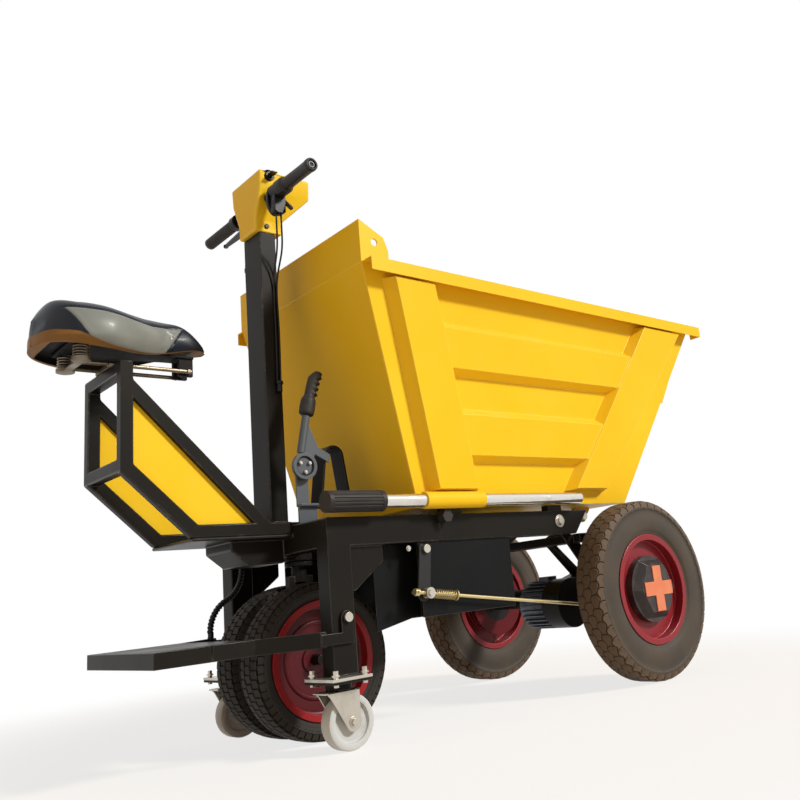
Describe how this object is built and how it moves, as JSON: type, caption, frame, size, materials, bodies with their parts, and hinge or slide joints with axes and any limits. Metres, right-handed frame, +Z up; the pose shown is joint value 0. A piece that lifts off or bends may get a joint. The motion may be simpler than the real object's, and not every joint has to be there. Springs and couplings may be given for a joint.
{
  "type": "concrete buggy",
  "caption": "Ride-on site buggy with a forward-tipping steel hopper over drive wheels, steered wheels under a column with handlebar, a sprung saddle, a fold-up foot platform and small casters.",
  "frame": {"origin": "on the ground, under the middle of the part's length and width", "axes": "+X forward, towards the end that tips out; +Y to the rider's left; +Z up"},
  "size_m": [2.19, 0.828, 1.51],
  "materials": {
    "black_paint": "satin",
    "yellow_paint": "satin",
    "zinc_steel": "satin",
    "chrome": "polished",
    "motor_metal": "satin",
    "brake_grey": "satin",
    "tyre_rubber": "matte",
    "red_rim": "gloss",
    "black_plastic": "satin",
    "soft_rubber": "matte",
    "white_nylon": "satin",
    "saddle_cover": "satin"
  },
  "bodies": {
    "chassis": {"rear_frame": "black_paint", "front_beams": "black_paint", "hinge_pin": "zinc_steel", "frame_bolts": "zinc_steel", "battery_box": "black_paint", "battery_pack": "black_plastic", "axle_housing": "black_paint", "drive_motor": "motor_metal", "handbrake_base": "brake_grey", "guard_hoop": "black_paint", "rest_pads": "soft_rubber", "caster_mounts": "zinc_steel", "loom": "black_plastic", "seat_frame": "black_paint", "seat_panels": "yellow_paint", "saddle_rails": "chrome", "saddle_springs": "chrome"},
    "steering": {"steer_column": "black_paint", "steer_leg": "black_paint", "head_housing": "yellow_paint", "head_screws": "zinc_steel", "handlebar": "black_paint", "left_grip": "soft_rubber", "control_clamps": "black_plastic", "key_lock": "chrome", "control_cables": "soft_rubber"},
    "throttle": {"twist_grip": "soft_rubber"},
    "thumb_switch": {"thumb_lever": "black_plastic"},
    "brake_hand": {"hand_lever": "black_plastic"},
    "ignition_key": {"key": "black_plastic"},
    "twin_wheel_left": {"twin_tyre_left": "tyre_rubber", "twin_rim_left": "red_rim"},
    "twin_wheel_right": {"twin_tyre_right": "tyre_rubber", "twin_rim_right": "red_rim"},
    "drive_wheel_left": {"drive_tyre_left": "tyre_rubber", "drive_rim_left": "red_rim", "hub_cap_left": "black_plastic"},
    "drive_wheel_right": {"drive_tyre_right": "tyre_rubber", "drive_rim_right": "red_rim", "hub_cap_right": "black_plastic"},
    "caster_swivel_left": {"caster_fork_left": "zinc_steel"},
    "caster_roll_left": {"caster_wheel_left": "white_nylon"},
    "caster_swivel_right": {"caster_fork_right": "zinc_steel"},
    "caster_roll_right": {"caster_wheel_right": "white_nylon"},
    "foot_platform": {"foot_tray": "black_paint", "foot_arms": "black_paint"},
    "hopper": {"hopper_tray": "yellow_paint", "hopper_sides": "yellow_paint", "hopper_rim": "yellow_paint", "bar_sleeve": "yellow_paint"},
    "pull_bar": {"tipping_bar": "chrome", "bar_grip": "soft_rubber"},
    "saddle": {"saddle_pad": "saddle_cover", "saddle_shell": "black_plastic"},
    "handbrake": {"brake_lever": "brake_grey", "lever_grip": "soft_rubber"},
    "arm": {"brake_arm": "black_paint"},
    "rod": {"brake_rod": "zinc_steel", "rod_spring": "zinc_steel"},
    "cam": {"brake_cam": "black_paint"}
  },
  "joints": [
    {"name": "steer_turn", "type": "hinge", "parent": "chassis", "child": "steering", "pos_m": [-0.443, 0, 0.48], "axis": [0, 0, 1], "range_deg": [-25, 25]},
    {"name": "twin_left_roll", "type": "hinge", "parent": "steering", "child": "twin_wheel_left", "pos_m": [-0.443, 0.0625, 0.1895], "axis": [0, 1, 0], "continuous": true},
    {"name": "twin_right_roll", "type": "hinge", "parent": "steering", "child": "twin_wheel_right", "pos_m": [-0.443, -0.0625, 0.1895], "axis": [0, 1, 0], "continuous": true},
    {"name": "drive_left_roll", "type": "hinge", "parent": "chassis", "child": "drive_wheel_left", "pos_m": [0.54, 0.3555, 0.265], "axis": [0, 1, 0], "continuous": true},
    {"name": "drive_right_roll", "type": "hinge", "parent": "chassis", "child": "drive_wheel_right", "pos_m": [0.54, -0.3555, 0.265], "axis": [0, 1, 0], "continuous": true},
    {"name": "caster_left_swivel", "type": "hinge", "parent": "chassis", "child": "caster_swivel_left", "pos_m": [-0.51, 0.262, 0.14], "axis": [0, 0, 1], "continuous": true},
    {"name": "caster_left_roll", "type": "hinge", "parent": "caster_swivel_left", "child": "caster_roll_left", "pos_m": [-0.492, 0.262, 0.061], "axis": [0, 1, 0], "continuous": true},
    {"name": "caster_right_swivel", "type": "hinge", "parent": "chassis", "child": "caster_swivel_right", "pos_m": [-0.51, -0.262, 0.14], "axis": [0, 0, 1], "continuous": true},
    {"name": "caster_right_roll", "type": "hinge", "parent": "caster_swivel_right", "child": "caster_roll_right", "pos_m": [-0.492, -0.262, 0.061], "axis": [0, 1, 0], "continuous": true},
    {"name": "platform_fold", "type": "hinge", "parent": "chassis", "child": "foot_platform", "pos_m": [-0.488, 0, 0.288], "axis": [0, 1, 0], "range_deg": [0, 33], "deforming": ["loom"]},
    {"name": "throttle_twist", "type": "hinge", "parent": "steering", "child": "throttle", "pos_m": [-0.522, -0.2, 1.432], "axis": [0, -1, 0], "range_deg": [0, 60], "stiffness_Nm_per_rad": 0.4},
    {"name": "thumb_tilt", "type": "hinge", "parent": "steering", "child": "thumb_switch", "pos_m": [-0.5, -0.119, 1.40428], "axis": [1, 0, 0], "range_deg": [-12, 12], "stiffness_Nm_per_rad": 0.1},
    {"name": "hand_lever_pull", "type": "hinge", "parent": "steering", "child": "brake_hand", "pos_m": [-0.491, 0.122, 1.432], "axis": [0, 0, 1], "range_deg": [0, 8], "stiffness_Nm_per_rad": 3},
    {"name": "key_turn", "type": "hinge", "parent": "steering", "child": "ignition_key", "pos_m": [-0.524, -0.09, 1.494], "axis": [0, -1, 0], "range_deg": [0, 90]},
    {"name": "hopper_tip", "type": "hinge", "parent": "chassis", "child": "hopper", "pos_m": [0.54, 0, 0.512], "axis": [0, 1, 0], "range_deg": [0, 75]},
    {"name": "bar_slide", "type": "slide", "parent": "hopper", "child": "pull_bar", "axis": [-1, 0, 0], "range_m": [0, 0.26]},
    {"name": "saddle_rock", "type": "hinge", "parent": "chassis", "child": "saddle", "pos_m": [-0.75, 0, 0.916], "axis": [0, -1, 0], "range_deg": [0, 3], "stiffness_Nm_per_rad": 900, "springref_deg": -1.15, "deforming": ["saddle_springs"]},
    {"name": "handbrake_pull", "type": "hinge", "parent": "chassis", "child": "handbrake", "pos_m": [-0.501, -0.14, 0.662], "axis": [0, -1, 0], "range_deg": [0, 30]},
    {"name": "arm_swing", "type": "hinge", "parent": "chassis", "child": "arm", "pos_m": [-0.233, -0.27, 0.432], "axis": [0, 1, 0], "range_deg": [0, 6.5]},
    {"name": "rod_pull", "type": "slide", "parent": "chassis", "child": "rod", "axis": [-0.9907, 0, 0.1357], "range_m": [0, 0.0125]},
    {"name": "cam_turn", "type": "hinge", "parent": "chassis", "child": "cam", "pos_m": [0.44109, -0.277, 0.29828], "axis": [0, 1, 0], "range_deg": [0, 10]}
  ],
  "couplings": [
    {"joint": "arm_swing", "follows": "handbrake_pull", "ratio": 0.2},
    {"joint": "rod_pull", "follows": "handbrake_pull", "m_per_rad": 0.0222},
    {"joint": "cam_turn", "follows": "handbrake_pull", "ratio": 0.31714}
  ]
}
